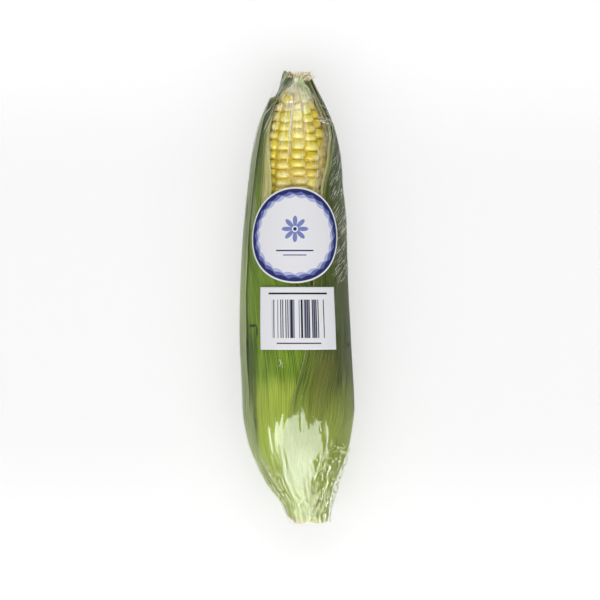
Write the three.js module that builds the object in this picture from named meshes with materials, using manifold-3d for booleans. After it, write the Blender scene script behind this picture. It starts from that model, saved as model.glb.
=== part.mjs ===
// An ear of sweet corn in its green husk, the husk opened to a V at the tip end to show the kernels,
// the whole ear wrapped in clear film that carries a round and an oblong paper label.
//
// Millimetres. The ear lies on its back on a table: +Y runs from the cut stem to the tip, +Z is up and
// looks out of the opened husk, and the origin is under the middle of the ear, on the table.
// Angles go round the ear's own axis: 0 is its right side, 90 the top, 180 the left, 270 the table.
import * as THREE from "three";
import { mergeVertices } from "three/addons/utils/BufferGeometryUtils.js";
import Module from "manifold-3d";

const wasm = await Module();
wasm.setup();

// ---------------------------------------------------------------- driving dimensions

const BASE_Y = -113.25; // outside of the film over the cut stem
const TIP_Y = 113.25; // ends of the trimmed silk
const AXIS_HEIGHT = 24.0; // the ear's axis above the table
const ROUNDNESS = 0.93; // half height over half width of the wrapped ear

const FILM_THICK = 0.35;
const LEAF_THICK = 0.6;
const PAPER_THICK = 0.35;
const RIB_HEIGHT = 0.12; // of the ribs on the outer leaves
const GAP = 0.3; // air between neighbouring pieces
const LEAF_GAP = 0.4; // air between two leaves, and between the outermost one and the film
const LEAF_STEP = LEAF_THICK + LEAF_GAP; // how far one leaf pushes in the leaf under it

const KERNEL_ROWS = 14;
const FRONT_ROW_ANGLE = 84.4; // the middle row of those that the husk shows
const GROOVE_DEPTH = 1.5; // between two kernels, from their crowns

const RADIANS = Math.PI / 180;

// ---------------------------------------------------------------- small helpers

const clamp = (x, low, high) => Math.min(high, Math.max(low, x));
const mix = (a, b, t) => a + (b - a) * t;
const smooth = (x) => {
  const t = clamp(x, 0, 1);
  return t * t * (3 - 2 * t);
};

// A smooth curve through [y, value] points that doesn't overshoot them.
function profile(points) {
  const rise = (i) => (points[i + 1][1] - points[i][1]) / (points[i + 1][0] - points[i][0]);
  const last = points.length - 1;
  const slopes = points.map((_, i) => {
    if (i === 0) return rise(0);
    if (i === last) return rise(last - 1);
    const before = rise(i - 1);
    const after = rise(i);
    return before * after > 0 ? (2 * before * after) / (before + after) : 0;
  });
  return (y) => {
    const at = clamp(y, points[0][0], points[last][0]);
    let i = 0;
    while (i < last - 1 && at > points[i + 1][0]) i += 1;
    const width = points[i + 1][0] - points[i][0];
    const t = (at - points[i][0]) / width;
    const u = 1 - t;
    return (
      points[i][1] * (1 + 2 * t) * u * u +
      slopes[i] * width * t * u * u +
      points[i + 1][1] * t * t * (3 - 2 * t) -
      slopes[i + 1] * width * t * t * u
    );
  };
}

// A repeatable number from -1 to 1 for a whole number.
function scatter(n) {
  const s = Math.sin(n * 12.9898 + 4.1414) * 43758.5453;
  return 2 * (s - Math.floor(s)) - 1;
}

// ---------------------------------------------------------------- the wrapped ear's outline

// Half width of the wrapped ear, and how far its axis bends to the right.
const halfWidth = profile([
  [-113.25, 10.3], [-104, 12.8], [-96, 16.6], [-88, 20.4], [-72, 25.6], [-55, 27.7], [-20, 27.6],
  [30, 25.8], [66, 22.8], [84, 19.4], [96, 14.9], [104, 10.9], [113.25, 6.4],
]);
const axisX = profile([
  [-113.25, 5.9], [-104, 5.0], [-92, 2.5], [-75, 1.1], [-50, 0.45], [-20, -0.95], [20, -1.4], [60, -1.0],
  [113.25, -0.7],
]);
// Half thickness of the cob over its kernels' crowns, and how far it lies above the ear's axis.
const crownRadius = profile([
  [-99, 8.4], [-96, 10.6], [-90, 13.4], [-80, 16.8], [-68, 19.6], [-45, 20.9], [-20, 20.9], [8, 20.3],
  [30, 19.8], [58, 18.8], [74, 17.0], [86, 14.1], [94, 11.1], [100, 8.5], [104, 6.4], [106.5, 4.2],
]);
const cobRaise = profile([[-99, 0.3], [60, 0.4], [106.5, 0.6]]);
// Half thickness of what fills the opened husk: kernels with silk over them, then the silk's tuft.
const SILK_ROOM = 0.8;
const TUFT_RADIUS = 4.6;
const fillRadius = (y) => Math.max(crownRadius(y) + SILK_ROOM, TUFT_RADIUS + SILK_ROOM);

// A point at a depth under the wrapped outline. It never comes lower than that depth over the table.
function skin(angle, y, depth) {
  const wide = halfWidth(y) - depth;
  const high = ROUNDNESS * halfWidth(y) - depth;
  const a = angle * RADIANS;
  return new THREE.Vector3(
    axisX(y) + wide * Math.cos(a),
    y,
    Math.max(AXIS_HEIGHT + high * Math.sin(a), depth),
  );
}

// ---------------------------------------------------------------- the husk's leaves

// Outermost first. A leaf runs round the ear from its angle `from` to its angle `to`, and from the
// stem up to `end`, where it was cut on a slant: the cut's heights at `from` and at `to`.
const LEAVES = [
  {
    name: "husk_right",
    from: profile([[-113, -98], [111, -88]]),
    to: profile([
      [-112, 156], [-104, 149], [-94, 128], [-85, 115], [-77, 111], [-68, 105], [-58, 98], [-49, 95], [-41, 89],
      [-27, 80], [0, 71], [20, 66], [40, 57], [51, 52], [57, 48], [64, 40], [70, 36], [76, 29], [82, 21],
      [90, 16], [96, 20], [103, 17], [111, 12],
    ]),
    base: [-112.5, -110.6],
    end: [108.4, 111.4],
    columns: 16,
  },
  {
    name: "husk_side",
    from: profile([[-112, 168], [-80, 158], [0, 152], [70, 152], [90, 156], [99, 168]]),
    to: profile([[-113, 280], [111, 284]]),
    base: [-109.4, -112.5],
    end: [98.2, 103.4],
    columns: 11,
  },
  {
    name: "husk_left",
    from: profile([
      [-112, 54], [-90, 42], [-40, 42], [-15, 50], [0, 64], [12, 82], [24, 103], [36, 128], [44, 138], [58, 138],
      [73, 141], [83, 143], [90, 142], [95, 139], [99, 133],
    ]),
    to: profile([[-113, 196], [95, 188], [104, 200]]),
    base: [-112.5, -110.4],
    end: [99.4, 99.0],
    extraStations: [-7, 0, 7, 21, 28, 43], // where its edge crosses over
    columns: 13,
  },
  {
    name: "husk_inner_left",
    inner: true,
    from: profile([
      [-112, 84], [-20, 82], [0, 84], [12, 88], [24, 96], [36, 112], [46, 121], [53, 120], [60, 123], [70, 128],
      [80, 136], [88, 139], [95, 141], [98.5, 150], [101, 144], [104.5, 118], [108, 97], [110, 101], [113, 116],
    ]),
    to: profile([[-113, 206], [111, 216]]),
    base: [-112.5, -112.5],
    end: [111.6, 112.8],
    columns: 12,
  },
  {
    name: "husk_inner_right",
    inner: true,
    from: profile([[-113, -30], [111, -34]]),
    to: profile([
      [-112, 79], [-20, 77], [0, 74], [20, 69], [40, 61], [51, 56], [57, 53], [64, 46], [70, 41], [76, 35],
      [82, 27], [90, 21], [96, 26], [103, 24], [110, 22],
    ]),
    base: [-112.5, -112.5],
    end: [107.2, 110.2],
    columns: 8,
  },
  {
    name: "husk_inner_back",
    inner: true,
    from: profile([[-113, 188], [111, 182]]),
    to: profile([[-113, 350], [111, 356]]),
    base: [-112.5, -112.5],
    end: [109.2, 109.2],
    columns: 12,
  },
];
const COVER_PAST_EDGE = 10; // degrees past a leaf's edge that the leaves below stay pushed in
const COVER_FADE = 30; // degrees over which they come out again
const COVER_PAST_END = 3; // the same along the ear, in mm past a leaf's cut end
const COVER_FADE_Y = 6;

// The turn of `angle` that lies nearest the middle of a leaf.
function nearestTurn(angle, middle) {
  return angle - 360 * Math.round((angle - middle) / 360);
}

// How much of a leaf lies over a place, from 0 to 1, fading out past its edges.
function cover(leaf, angle, y) {
  const from = leaf.from(y);
  const to = leaf.to(y);
  const turned = nearestTurn(angle, (from + to) / 2);
  const outside = Math.max(from - turned, turned - to);
  const beyond = y - Math.max(...leaf.end) - COVER_PAST_END;
  return (1 - smooth((outside - COVER_PAST_EDGE) / COVER_FADE)) * (1 - smooth(beyond / COVER_FADE_Y));
}

// The film stands off the husk in a loose fold at the lower right.
const FOLD = { depth: 2.0, angle: -6, spread: 34, y: -95, reach: 12 };

function filmFold(angle, y) {
  const across = nearestTurn(angle - FOLD.angle, 0) / FOLD.spread;
  const along = (y - FOLD.y) / FOLD.reach;
  return FOLD.depth * Math.exp(-across * across - along * along);
}

// Depth of a leaf's outer face: under the film, and under each leaf that lies over it.
function leafDepth(order, angle, y) {
  const over = LEAVES.slice(0, order).reduce((sum, leaf) => sum + cover(leaf, angle, y), 0);
  return FILM_THICK + LEAF_GAP + filmFold(angle, y) + LEAF_STEP * over;
}

// ---------------------------------------------------------------- the film's sag over the opened husk

// The film is taut: across the opening it runs straight from just inside each leaf's edge to where it
// touches the silk and the kernels. This is how far that lies below the outline. Further down the
// paper labels keep it from sagging.
const SAG_FROM_EDGE = 10; // degrees
const SAG_START_Y = 50;
const SAG_FULL_Y = 66;

function filmSag(angle, y) {
  const left = y > 97 ? 100 : LEAVES[2].from(y);
  const right = LEAVES[0].to(y);
  const half = ((left - right) / 2 - SAG_FROM_EDGE) * RADIANS;
  const reach = smooth((y - SAG_START_Y) / (SAG_FULL_Y - SAG_START_Y));
  if (half <= 0 || reach === 0) return 0;
  const edge = ROUNDNESS * halfWidth(y) - FILM_THICK;
  const inside = Math.min(fillRadius(y) + cobRaise(y) + GAP, edge);
  const lift = Math.min(half, Math.acos(inside / edge));
  const off = clamp(Math.abs(angle - (left + right) / 2) * RADIANS - (half - lift), 0, lift);
  return reach * (edge - (edge * Math.cos(lift)) / Math.cos(off));
}

// ---------------------------------------------------------------- meshes from grids of points

// A closed body from triangles, its equal corners merged and its flat slivers dropped.
function closedGeometry(points, triangles) {
  const raw = new THREE.BufferGeometry().setFromPoints(points);
  raw.setIndex(triangles.flat());
  const merged = mergeVertices(raw, 1e-4);
  const index = merged.index.array;
  const kept = [];
  for (let i = 0; i < index.length; i += 3) {
    const [a, b, c] = index.slice(i, i + 3);
    if (a !== b && b !== c && c !== a) kept.push(a, b, c);
  }
  merged.setIndex(kept);
  return merged;
}

// The body between an outer and an inner sheet of points, each a list of rows that run round the
// ear. A `round` sheet's rows close on themselves.
function shell(outer, inner, round = false) {
  const rows = outer.length;
  const columns = outer[0].length;
  const points = [...outer.flat(), ...inner.flat()];
  const at = (r, c, side) => side * rows * columns + r * columns + (c % columns);
  const triangles = [];
  const quad = (a, b, c, d) => triangles.push([a, b, c], [a, c, d]);
  const spans = round ? columns : columns - 1;
  for (let r = 0; r < rows - 1; r += 1) {
    for (let c = 0; c < spans; c += 1) {
      quad(at(r, c, 0), at(r + 1, c, 0), at(r + 1, c + 1, 0), at(r, c + 1, 0));
      quad(at(r, c, 1), at(r, c + 1, 1), at(r + 1, c + 1, 1), at(r + 1, c, 1));
    }
    if (!round) {
      quad(at(r, 0, 0), at(r, 0, 1), at(r + 1, 0, 1), at(r + 1, 0, 0));
      quad(at(r, spans, 0), at(r + 1, spans, 0), at(r + 1, spans, 1), at(r, spans, 1));
    }
  }
  for (let c = 0; c < spans; c += 1) {
    quad(at(0, c, 0), at(0, c + 1, 0), at(0, c + 1, 1), at(0, c, 1));
    quad(at(rows - 1, c, 0), at(rows - 1, c, 1), at(rows - 1, c + 1, 1), at(rows - 1, c + 1, 0));
  }
  return closedGeometry(points, triangles);
}

// A solid body from closed rows of points, each end drawn in to a point.
function lump(rows, start, end) {
  const columns = rows[0].length;
  const points = [...rows.flat(), start, end];
  const first = rows.length * columns;
  const at = (r, c) => r * columns + (c % columns);
  const triangles = [];
  for (let c = 0; c < columns; c += 1) {
    for (let r = 0; r < rows.length - 1; r += 1) {
      triangles.push([at(r, c), at(r + 1, c), at(r + 1, c + 1)], [at(r, c), at(r + 1, c + 1), at(r, c + 1)]);
    }
    triangles.push([first, at(0, c), at(0, c + 1)]);
    triangles.push([first + 1, at(rows.length - 1, c + 1), at(rows.length - 1, c)]);
  }
  return closedGeometry(points, triangles);
}

function mesh(name, geometry, material) {
  geometry.computeVertexNormals();
  const made = new THREE.Mesh(geometry, material);
  made.name = name;
  return made;
}

// ---------------------------------------------------------------- materials

const kernelSkin = new THREE.MeshStandardMaterial({ color: 0xf0cf4a, roughness: 0.3, metalness: 0 });
const greenHusk = new THREE.MeshStandardMaterial({ color: 0x6f9a35, roughness: 0.55, metalness: 0 });
const paleHusk = new THREE.MeshStandardMaterial({ color: 0xdadf9c, roughness: 0.6, metalness: 0 });
const drySilk = new THREE.MeshStandardMaterial({ color: 0xc0a566, roughness: 0.7, metalness: 0 });
const cutStem = new THREE.MeshStandardMaterial({ color: 0xd9dfae, roughness: 0.7, metalness: 0 });
const whitePaper = new THREE.MeshStandardMaterial({ color: 0xe9eaee, roughness: 0.5, metalness: 0 });
const clearFilm = new THREE.MeshStandardMaterial({
  color: 0xf4f8f4, roughness: 0.08, metalness: 0, transparent: true, opacity: 0.14,
});

// ---------------------------------------------------------------- kernels on their cob

const KERNELS_IN_ROW = 40;
const SHOWN_KERNELS = 13; // from the tip, finely shaped where the husk is open
const SHOWN_ROWS = [-2, -1, 0, 1, 2];

// Where the n-th kernel of a row begins, counted from the tip: small ones first, then the longest,
// and shorter ones down the ear.
const kernelY = profile([
  [-0.5, 106.4], [0.5, 103.2], [1.5, 99.4], [2.5, 94.8], [3.5, 89.9], [5, 82.4], [8, 68.2], [12, 50.4],
  [20, 14.0], [40.5, -98.9],
]);
const rowPhase = (row) => 0.36 * scatter(row + 40);

function cob() {
  const rowAngle = 360 / KERNEL_ROWS;
  const columns = [];
  const firstRow = -KERNEL_ROWS / 2;
  for (let row = firstRow; row < -firstRow; row += 1) {
    const places = SHOWN_ROWS.includes(row) ? [-1, -0.52, 0.52] : [-1, 0];
    places.forEach((across) => {
      const groove = across === -1;
      columns.push({
        angle: FRONT_ROW_ANGLE + (row + across / 2) * rowAngle,
        phase: groove ? (rowPhase(row === firstRow ? -firstRow - 1 : row - 1) + rowPhase(row)) / 2 : rowPhase(row),
        groove,
      });
    });
  }
  const stations = [];
  for (let n = 0; n < KERNELS_IN_ROW; n += 1) {
    const places = n < SHOWN_KERNELS ? [0, 0.27, 0.73] : [0, 0.5];
    places.forEach((along) => stations.push({ place: n + along, groove: along === 0 }));
  }
  stations.reverse();
  const rows = stations.map((station) =>
    columns.map((column) => {
      const y = kernelY(station.place + column.phase);
      const crown = crownRadius(y);
      const sunk = station.groove || column.groove ? Math.min(GROOVE_DEPTH, 0.16 * crown) : 0;
      const a = column.angle * RADIANS;
      return new THREE.Vector3(
        axisX(y) + (crown - sunk) * Math.cos(a),
        y,
        AXIS_HEIGHT + cobRaise(y) + (crown - sunk) * Math.sin(a),
      );
    }),
  );
  const foot = new THREE.Vector3(axisX(-99), -100.2, AXIS_HEIGHT + cobRaise(-99));
  const tip = new THREE.Vector3(axisX(106), 107.6, AXIS_HEIGHT + cobRaise(106));
  return lump(rows, foot, tip);
}

// ---------------------------------------------------------------- husk leaves, cut stem

// The stations along the ear that the husk and the film share, so that their facets nest.
const STATIONS = [-107.5, -101, -93, -84, -74, -61, -42, -14, 14, 36, 51, 63, 74, 84, 92, 98.2, 103];
const TIP_STATIONS = [95.2, 100.5, 105.8, 108.4];
const HUSK_BASE_Y = -112.5;

function huskLeaf(leaf, order) {
  const last = Math.min(...leaf.end) - 1.6;
  const stations = [...STATIONS, ...TIP_STATIONS, ...(leaf.extraStations ?? [])]
    .filter((y) => y < last)
    .sort((a, b) => a - b);
  const sheet = (inside) => {
    const point = (y, c) => {
      const angle = mix(leaf.from(y), leaf.to(y), c / leaf.columns);
      const rib = c % 2 && !leaf.inner ? RIB_HEIGHT : 0;
      return skin(angle, y, leafDepth(order, angle, y) + (inside ? LEAF_THICK : -rib));
    };
    const columns = Array.from({ length: leaf.columns + 1 }, (_, c) => c);
    const cut = ([a, b]) => columns.map((c) => point(mix(a, b, c / leaf.columns), c));
    return [cut(leaf.base), ...stations.map((y) => columns.map((c) => point(y, c))), cut(leaf.end)];
  };
  return shell(sheet(false), sheet(true));
}

function stem() {
  const outline = [
    [HUSK_BASE_Y, 5.6], [HUSK_BASE_Y + 0.6, 6.0], [-107, 6.2], [-102.5, 7.4], [-101, 6.6],
  ];
  const rows = outline.map(([y, radius]) =>
    Array.from({ length: 16 }, (_, c) => {
      const a = (c * 2 * Math.PI) / 16;
      return new THREE.Vector3(axisX(y) + radius * Math.cos(a), y, AXIS_HEIGHT + 0.95 * radius * Math.sin(a));
    }),
  );
  const foot = new THREE.Vector3(axisX(HUSK_BASE_Y), HUSK_BASE_Y, AXIS_HEIGHT);
  const top = new THREE.Vector3(axisX(-101), -100.8, AXIS_HEIGHT);
  return lump(rows, foot, top);
}

// ---------------------------------------------------------------- film and labels

const FILM_COLUMNS = 36;
const FILM_TOP_Y = 109.6; // the shrunk sleeve's open rim round the leaf tips
const FILM_HOLE = 4.6; // radius of the vent over the cut stem

function film() {
  const angles = Array.from({ length: FILM_COLUMNS }, (_, c) => (360 / FILM_COLUMNS) * c);
  const sheet = (inside) => {
    const extra = inside ? FILM_THICK : 0;
    const floorY = BASE_Y + extra;
    const disc = (radius) =>
      angles.map((angle) => {
        const a = angle * RADIANS;
        return new THREE.Vector3(
          axisX(floorY) + radius * Math.cos(a),
          floorY,
          AXIS_HEIGHT + ROUNDNESS * radius * Math.sin(a),
        );
      });
    const side = [HUSK_BASE_Y, ...STATIONS, FILM_TOP_Y].map((y) =>
      angles.map((angle) => skin(angle, y, filmSag(angle, y) + extra)),
    );
    return [disc(FILM_HOLE), disc(halfWidth(BASE_Y) - 1 - extra), ...side];
  };
  return shell(sheet(false), sheet(true), true);
}

// A point of a paper label stuck on the film: `across` and `along` in mm from the label's middle.
function onFilm(label, across, along, lift) {
  const y = label.y + along;
  const angle = 90 - (label.x - axisX(label.y) + across) / halfWidth(label.y) / RADIANS;
  return skin(angle, y, filmSag(angle, y) - lift);
}

const ROUND_LABEL = { x: -1.0, y: 30.5, radius: 24.25 };
const OBLONG_LABEL = { x: 0.4, y: -10.75, width: 40.5, height: 31 };

function roundLabel() {
  const rings = [0, 0.26, 0.52, 0.77, 1];
  const sides = 30;
  const sheet = (lift) =>
    rings.map((share) =>
      Array.from({ length: sides }, (_, c) => {
        const a = (c * 2 * Math.PI) / sides;
        const reach = share * ROUND_LABEL.radius;
        return onFilm(ROUND_LABEL, reach * Math.cos(a), reach * Math.sin(a), lift);
      }),
    );
  return shell(sheet(GAP + PAPER_THICK), sheet(GAP), true);
}

function oblongLabel() {
  const columns = 10;
  const rows = 3;
  const sheet = (lift) =>
    Array.from({ length: rows + 1 }, (_, r) =>
      Array.from({ length: columns + 1 }, (_, c) =>
        onFilm(
          OBLONG_LABEL,
          OBLONG_LABEL.width * (0.5 - c / columns),
          OBLONG_LABEL.height * (r / rows - 0.5),
          lift,
        ),
      ),
    );
  return shell(sheet(GAP + PAPER_THICK), sheet(GAP));
}

// ---------------------------------------------------------------- silk

const SILK_THICK = 0.6;
const STUBS = 20; // cut short, standing out of the tip
const TUFT = { shift: 1.7, raise: 1.0, y: 109.4 };
// Long threads left lying over the kernels: their angle at the tip and at their end, and their end.
const STRANDS = [
  { from: 118, to: 121, end: 93 },
  { from: 104, to: 112, end: 84 },
  { from: 96, to: 92, end: 64 },
  { from: 78, to: 81, end: 88 },
  { from: 64, to: 68, end: 73 },
  { from: 50, to: 55, end: 59 },
];

// A tapering three-sided thread along a line of points.
function thread(points, thick) {
  const rows = points.map((p, i) => {
    const next = points[Math.min(i + 1, points.length - 1)];
    const before = points[Math.max(i - 1, 0)];
    const along = next.clone().sub(before).normalize();
    const side = new THREE.Vector3(0, 0, 1).cross(along).normalize();
    const up = along.clone().cross(side);
    const radius = (thick / 2) * mix(1, 0.6, i / (points.length - 1));
    return [0, 1, 2].map((k) => {
      const a = (k * 2 * Math.PI) / 3;
      return p.clone().addScaledVector(side, radius * Math.sin(a)).addScaledVector(up, radius * Math.cos(a));
    });
  });
  return lump(rows, points[0], points[points.length - 1]);
}

// A point of the tuft: `turn` in degrees round its middle, `reach` out from it.
function tuftPoint(turn, reach, y) {
  return new THREE.Vector3(
    axisX(y) + TUFT.shift + reach * Math.cos(turn * RADIANS),
    y,
    AXIS_HEIGHT + TUFT.raise + 0.8 * reach * Math.sin(turn * RADIANS),
  );
}

function tuftRoot() {
  const outline = [[-1.0, 2.4], [-0.5, 3.5], [0.8, 3.7], [1.4, 2.8]];
  const rows = outline.map(([along, reach]) =>
    Array.from({ length: 12 }, (_, c) => tuftPoint(c * 30, reach, TUFT.y + along)),
  );
  return lump(rows, tuftPoint(0, 0, TUFT.y - 1.1), tuftPoint(0, 0, TUFT.y + 1.6));
}

function stub(n) {
  const turn = n * 137.5;
  const reach = 3.5 * Math.sqrt((n + 0.5) / STUBS);
  const tipY = TIP_Y - 1.0 * (1 + scatter(n)) - 0.15 * reach;
  const bend = 22 * scatter(n + 70);
  return thread(
    [
      tuftPoint(turn, 0.9 * reach, TUFT.y),
      tuftPoint(turn, 1.05 * reach, TUFT.y + 1.8),
      tuftPoint(turn + bend, 1.4 * reach, tipY),
    ],
    1.1,
  );
}

function strand({ from, to, end }) {
  const points = [tuftPoint(from, 2.6, TUFT.y)];
  for (let y = TUFT.y - 1.6; y > end; y -= y > 100 ? 1.8 : 4.5) {
    const share = (TUFT.y - y) / (TUFT.y - end);
    const a = (mix(from, to, share) + 1.2 * Math.sin(0.55 * y + from)) * RADIANS;
    const reach = crownRadius(y) + 0.5;
    points.push(
      new THREE.Vector3(axisX(y) + reach * Math.cos(a), y, AXIS_HEIGHT + cobRaise(y) + reach * Math.sin(a)),
    );
  }
  return thread(points, SILK_THICK);
}

function solidOf(geometry) {
  return new wasm.Manifold(
    new wasm.Mesh({
      numProp: 3,
      vertProperties: new Float32Array(geometry.attributes.position.array),
      triVerts: new Uint32Array(geometry.index.array),
    }),
  );
}

function silk() {
  const pieces = [tuftRoot(), ...STRANDS.map(strand)];
  for (let n = 0; n < STUBS; n += 1) pieces.push(stub(n));
  const joined = pieces.map(solidOf).reduce((all, piece) => all.add(piece));
  const made = joined.getMesh();
  return new THREE.BufferGeometry()
    .setAttribute("position", new THREE.BufferAttribute(new Float32Array(made.vertProperties), 3))
    .setIndex(new THREE.BufferAttribute(new Uint32Array(made.triVerts), 1));
}

// ---------------------------------------------------------------- the ear

const group = new THREE.Group();
group.add(mesh("kernels", cob(), kernelSkin));
LEAVES.forEach((leaf, order) => {
  group.add(mesh(leaf.name, huskLeaf(leaf, order), leaf.inner ? paleHusk : greenHusk));
});
group.add(mesh("stem", stem(), cutStem));
group.add(mesh("silk", silk(), drySilk));
group.add(mesh("film", film(), clearFilm));
group.add(mesh("round_label", roundLabel(), whitePaper));
group.add(mesh("oblong_label", oblongLabel(), whitePaper));

export default group;
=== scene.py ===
import math
from functools import partialmethod

import bpy
import numpy as np
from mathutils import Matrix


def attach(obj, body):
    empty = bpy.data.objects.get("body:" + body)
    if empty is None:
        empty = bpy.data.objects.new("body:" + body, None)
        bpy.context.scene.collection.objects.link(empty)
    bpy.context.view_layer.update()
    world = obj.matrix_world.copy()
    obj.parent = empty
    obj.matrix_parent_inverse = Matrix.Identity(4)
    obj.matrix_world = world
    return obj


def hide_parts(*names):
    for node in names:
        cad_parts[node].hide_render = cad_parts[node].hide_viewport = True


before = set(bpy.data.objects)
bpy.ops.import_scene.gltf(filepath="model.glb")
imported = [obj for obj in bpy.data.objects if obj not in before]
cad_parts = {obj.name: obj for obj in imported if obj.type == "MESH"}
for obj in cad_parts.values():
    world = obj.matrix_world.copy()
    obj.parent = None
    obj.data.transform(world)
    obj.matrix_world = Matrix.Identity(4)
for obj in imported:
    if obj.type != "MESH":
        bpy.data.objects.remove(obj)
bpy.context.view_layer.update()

mm = 0.001  # every shape below is worked out in millimetres and stored in metres


# A smooth curve through points (x, value): cubic pieces whose slope at each point is the harmonic mean
# of its neighbours' slopes, or level where they turn, so it never overshoots a point.
def profile(points):
    xs, values = np.array(points, float).T
    rise = np.diff(values) / np.diff(xs)
    before, after = rise[:-1], rise[1:]
    sameWay = before * after > 0
    middle = np.where(sameWay, 2 * before * after / np.where(sameWay, before + after, 1), 0)
    slopes = np.concatenate([[rise[0]], middle, [rise[-1]]])

    def at(x):
        x = np.clip(x, xs[0], xs[-1])
        i = np.clip(np.searchsorted(xs, x, side="right") - 1, 0, len(xs) - 2)
        width = xs[i + 1] - xs[i]
        t = (x - xs[i]) / width
        u = 1 - t
        start = values[i] * (1 + 2 * t) * u * u + slopes[i] * width * t * u * u
        end = values[i + 1] * t * t * (3 - 2 * t) - slopes[i + 1] * width * t * t * u
        return start + end

    return at


def mix(a, b, t):
    return a + (b - a) * t


def smooth(x):  # 0 to 1 along an S
    t = np.clip(x, 0, 1)
    return t * t * (3 - 2 * t)


def hump(x, middle, reach):  # a bell of height 1
    return np.exp(-(((x - middle) / reach) ** 2))


def turned(angle, middle=0):  # the same angle, less than half a turn from the middle
    return angle - 360 * np.round((angle - middle) / 360)


def around(angle, middle, reach):  # a bell round the ear
    return hump(turned(angle - middle), 0, reach)


def scatter(*numbers):  # a repeatable number from 0 to 1 for each set of whole numbers
    mixed = sum(np.asarray(n, float) * k for n, k in zip(numbers, (127.1, 311.7, 74.7, 219.3)))
    s = np.sin(mixed + 4.14) * 43758.5453
    return s - np.floor(s)


# Random relief from -1 to 1: random heights at whole-numbered places, blended between them, smoothly or
# in straight slopes as facets.
def relief(x, y, seed=0, blend=smooth):
    xi, yi = np.floor(x), np.floor(y)
    fx, fy = blend(x - xi), blend(y - yi)
    low = mix(scatter(xi, yi, seed), scatter(xi + 1, yi, seed), fx)
    high = mix(scatter(xi, yi + 1, seed), scatter(xi + 1, yi + 1, seed), fx)
    return 2 * mix(low, high, fy) - 1


def facets(x, y, seed):
    return relief(x, y, seed, blend=lambda t: t)


# The wrapped ear, in mm: +Y from the cut stem to the tip, +Z up, angles round the ear's own axis with 0
# at its right side and 90 on top. Each profile below runs along y.
ear = {
    "axisHeight": 24.0,
    "roundness": 0.93,  # height over width
    "filmThick": 0.35,
    "leafThick": 0.6,
    "leafGap": 0.4,
}
halfWidth = profile([
    (-113.25, 10.3), (-104, 12.8), (-96, 16.6), (-88, 20.4), (-72, 25.6), (-55, 27.7), (-20, 27.6),
    (30, 25.8), (66, 22.8), (84, 19.4), (96, 14.9), (104, 10.9), (113.25, 6.4),
])
fullRight = profile([  # how much fuller the right side is than an ellipse
    (-113, 0), (-100, 0.3), (-60, 0.7), (-20, 0.6), (0, 0.2), (20, 0.5), (40, 0.8), (55, 0.3), (70, 0.8),
    (90, 0.3), (100, 0),
])
fullLeft = profile([
    (-113, 0), (-85, 0.3), (-60, 0.8), (-20, 0.8), (20, 0.7), (40, 0.4), (60, 0.2), (80, 0),
])
axisX = profile([
    (-113.25, 5.9), (-104, 5.0), (-92, 2.5), (-75, 1.1), (-50, 0.45), (-20, -0.95), (20, -1.4), (60, -1.0),
    (113.25, -0.7),
])
crownRadius = profile([  # from the cob's middle line to its kernels' crowns
    (-99, 8.4), (-96, 10.6), (-90, 13.4), (-80, 16.8), (-68, 19.6), (-45, 20.9), (-20, 20.9), (8, 20.3),
    (30, 19.8), (58, 18.8), (74, 17.0), (86, 14.1), (94, 11.1), (100, 8.5), (104, 6.4), (106.5, 4.2),
])
cobRaise = profile([(-99, 0.3), (60, 0.4), (106.5, 0.6)])  # the cob's middle line over the ear's axis


def pointsAt(x, y, z):
    return np.stack(np.broadcast_arrays(x, y, z), -1)


# A point at a depth under the wrapped outline: an ellipse round the ear's axis, a little fuller at its
# sides, and held up off the table by as much as the depth.
def skin(angle, y, depth):
    a = np.radians(angle)
    across = np.cos(a)
    fuller = np.abs(across) * np.where(across > 0, fullRight(y), fullLeft(y))
    wide = halfWidth(y) - depth + fuller
    high = ear["roundness"] * halfWidth(y) - depth
    z = np.maximum(ear["axisHeight"] + high * np.sin(a), depth)
    return pointsAt(axisX(y) + wide * across, y, z)


# A point over the cob at a distance from its own middle line.
def overCob(angle, y, reach):
    a = np.radians(angle)
    z = ear["axisHeight"] + cobRaise(y) + reach * np.sin(a)
    return pointsAt(axisX(y) + reach * np.cos(a), y, z)


# Quads between neighbours of a grid of points, whose rows close on themselves where round.
def gridFaces(rows, columns, isRound, first=0):
    across = np.arange(columns if isRound else columns - 1)
    r, c = np.meshgrid(np.arange(rows - 1), across, indexing="ij")
    here, right = r * columns + c, r * columns + (c + 1) % columns
    return first + np.stack([here, here + columns, right + columns, right], -1).reshape(-1, 4)


# Quads joining two lines of points, side by side.
def stripFaces(a, b):
    return np.stack([a[:-1], a[1:], b[1:], b[:-1]], -1)


# Triangles that close rings of points, which start at the numbers `starts`, each to its own pole.
def poleFaces(poles, starts, columns, isLast):
    ring = np.arange(columns)
    here, after = [np.atleast_1d(starts)[:, None] + n for n in (ring, (ring + 1) % columns)]
    pole = np.broadcast_to(np.atleast_1d(poles)[:, None], here.shape)
    return np.stack([pole, after, here] if isLast else [pole, here, after], -1).reshape(-1, 3)


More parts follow.
